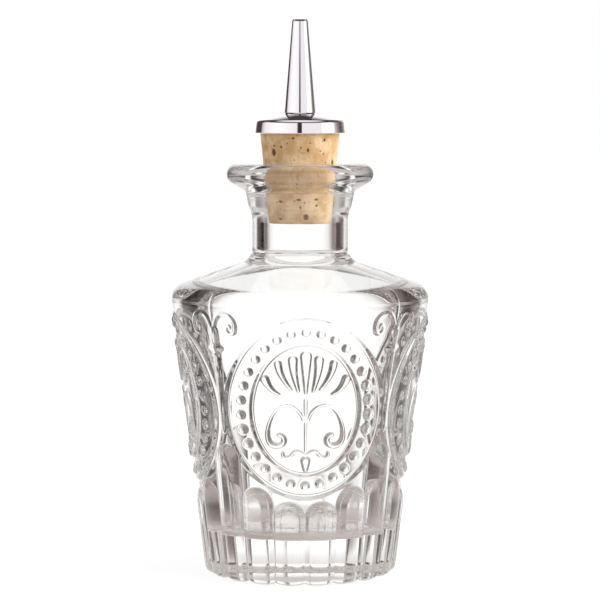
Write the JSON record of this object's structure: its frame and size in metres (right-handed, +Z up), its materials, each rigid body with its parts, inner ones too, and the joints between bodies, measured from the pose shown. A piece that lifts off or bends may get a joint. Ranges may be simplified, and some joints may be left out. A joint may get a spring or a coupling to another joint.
{
  "type": "bitters bottle",
  "caption": "Heavy pressed-glass dasher bottle with beaded oval medallions and a ribbed foot, closed by a tapered cork with a metal cap and a conical dash spout.",
  "frame": {"origin": "on the bottle's axis, at its resting face", "axes": "+Z up along the bottle's axis towards the spout; -Y is the face that looks at the camera, with a medallion at its middle"},
  "size_m": [0.0716, 0.0716, 0.1534],
  "materials": {
    "glass": "polished",
    "cork": "matte",
    "polished_metal": "polished",
    "white_plastic": "matte"
  },
  "bodies": {
    "bottle": {"bottle": "glass"},
    "stopper": {"cork": "cork", "cap": "polished_metal", "spout": "polished_metal", "stem": "polished_metal", "flow_insert": "white_plastic"}
  },
  "joints": [
    {"name": "stopper_lift", "type": "slide", "parent": "bottle", "child": "stopper", "axis": [0, 0, 1], "range_m": [0, 0.03]}
  ]
}
